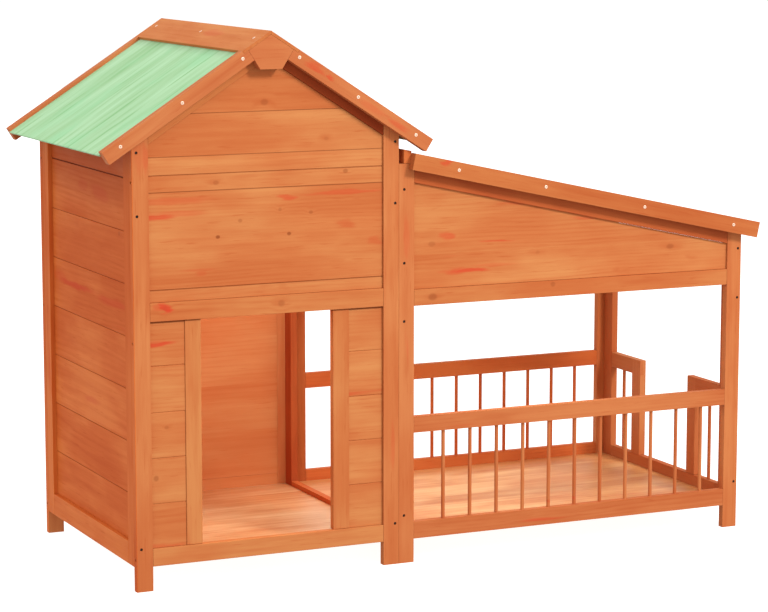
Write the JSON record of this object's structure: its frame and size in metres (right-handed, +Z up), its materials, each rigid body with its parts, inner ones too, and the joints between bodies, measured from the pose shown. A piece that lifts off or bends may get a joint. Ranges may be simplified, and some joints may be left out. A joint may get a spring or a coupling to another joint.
{
  "type": "dog house",
  "caption": "Timber dog house with a gable roof and an open doorway, joined to a lower covered run with low railings and a side entrance.",
  "frame": {"origin": "middle of the underside of the bounding box, on the ground", "axes": "+X from the house to the run, along the front; +Y from the front to the rear; +Z up"},
  "size_m": [1.5362, 0.6408, 1.1389],
  "materials": {
    "wood_post": "stained softwood, satin",
    "wood_frame": "stained softwood, satin",
    "wood_board": "stained softwood boards, satin",
    "wood_floor": "stained softwood boards, satin",
    "wood_barge": "stained softwood, satin",
    "green_roof": "thin panel with a pale green coat, matt",
    "screw_zinc": "zinc-plated steel",
    "screw_dark": "dark steel, sunk"
  },
  "bodies": {
    "root": {"house_post_front_left": "wood_post", "house_post_front_right": "wood_post", "house_post_rear_left": "wood_post", "house_post_rear_right": "wood_post", "run_post_front_left": "wood_post", "run_post_front_right": "wood_post", "run_post_rear_left": "wood_post", "run_post_rear_right": "wood_post", "front_bottom_rail": "wood_frame", "door_header": "wood_frame", "door_stile_left": "wood_frame", "door_stile_right": "wood_frame", "raking_rail_front_left": "wood_frame", "raking_rail_front_right": "wood_frame", "raking_rail_rear_left": "wood_frame", "raking_rail_rear_right": "wood_frame", "left_stile_front": "wood_frame", "left_stile_rear": "wood_frame", "left_bottom_rail": "wood_frame", "rear_bottom_rail": "wood_frame", "right_stile_front": "wood_frame", "right_stile_rear": "wood_frame", "passage_sill": "wood_frame", "passage_header": "wood_frame", "run_ledger": "wood_frame", "run_railing_front": "wood_frame", "run_railing_rear": "wood_frame", "run_fascia_rail": "wood_frame", "run_raking_rail": "wood_frame", "run_end_stile_front": "wood_frame", "run_end_stile_rear": "wood_frame", "run_end_bottom_rail": "wood_frame", "run_end_railing_front": "wood_frame", "run_end_railing_rear": "wood_frame", "front_panel_left": "wood_board", "front_panel_right": "wood_board", "front_board_lower": "wood_board", "front_board_middle": "wood_board", "front_board_upper": "wood_board", "front_board_top": "wood_board", "left_boarding": "wood_board", "rear_boarding": "wood_board", "right_boarding": "wood_board", "run_fascia_board": "wood_board", "run_fascia_rear": "wood_board", "house_floor": "wood_floor", "run_floor": "wood_floor", "gable_barge_front_left": "wood_barge", "gable_barge_front_right": "wood_barge", "gable_barge_rear_left": "wood_barge", "gable_barge_rear_right": "wood_barge", "ridge_cap_left": "wood_barge", "ridge_cap_right": "wood_barge", "apex_block_front": "wood_barge", "apex_block_rear": "wood_barge", "run_barge_front": "wood_barge", "run_barge_rear": "wood_barge", "gable_roof_panel_left": "green_roof", "gable_roof_panel_right": "green_roof", "run_roof_panel": "green_roof"}
  },
  "joints": []
}
